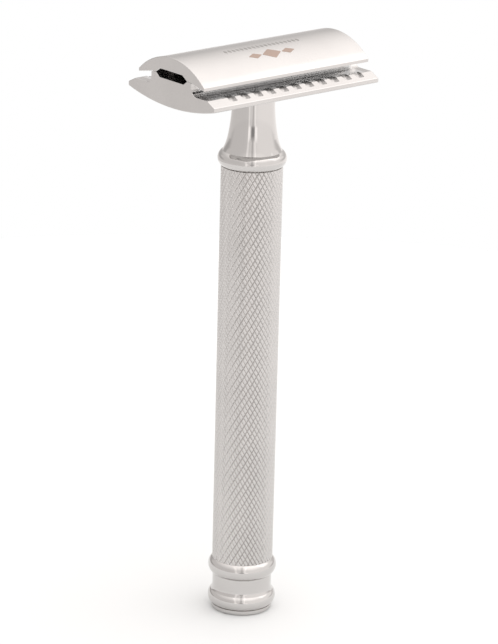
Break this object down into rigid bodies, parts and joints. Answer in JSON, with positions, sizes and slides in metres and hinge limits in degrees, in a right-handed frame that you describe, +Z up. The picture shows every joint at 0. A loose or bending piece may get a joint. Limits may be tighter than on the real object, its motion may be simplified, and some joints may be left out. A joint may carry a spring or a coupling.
{
  "type": "safety razor",
  "caption": "Three-piece safety razor with an arched cap, scalloped guard plate, flared neck, diamond-knurled grip and beaded pommel, all bright metal.",
  "frame": {"origin": "centre of the foot's underside, on the handle axis", "axes": "+Z up the handle axis to the head, +X along the head, +Y across the head"},
  "size_m": [0.0414, 0.026, 0.1171],
  "materials": {
    "satin_chrome": "satin, bead-blasted and plated",
    "polished_chrome": "polished",
    "knurled_chrome": "plated over a cut diamond knurl",
    "steel": "turned"
  },
  "bodies": {
    "handle": {"foot": "polished_chrome", "pommel": "polished_chrome", "pommel_ring": "polished_chrome", "grip_sleeve": "knurled_chrome", "neck_ring": "polished_chrome", "neck": "polished_chrome", "tie_rod": "steel", "tie_nut": "steel", "lock_washer": "steel"},
    "guard": {"guard_plate": "satin_chrome"},
    "cap": {"cap": "satin_chrome", "threaded_stud": "steel", "guide_pin_left": "polished_chrome", "guide_pin_right": "polished_chrome"}
  },
  "joints": [
    {"name": "head_turn", "type": "hinge", "parent": "handle", "child": "guard", "pos_m": [0, 0, 0.1083], "axis": [0, 0, 1], "range_deg": [0, 3600]},
    {"name": "cap_rise", "type": "slide", "parent": "guard", "child": "cap", "axis": [0, 0, 1], "range_m": [0, 0.008]}
  ],
  "couplings": [
    {"joint": "cap_rise", "follows": "head_turn", "m_per_rad": 0.00012732}
  ]
}
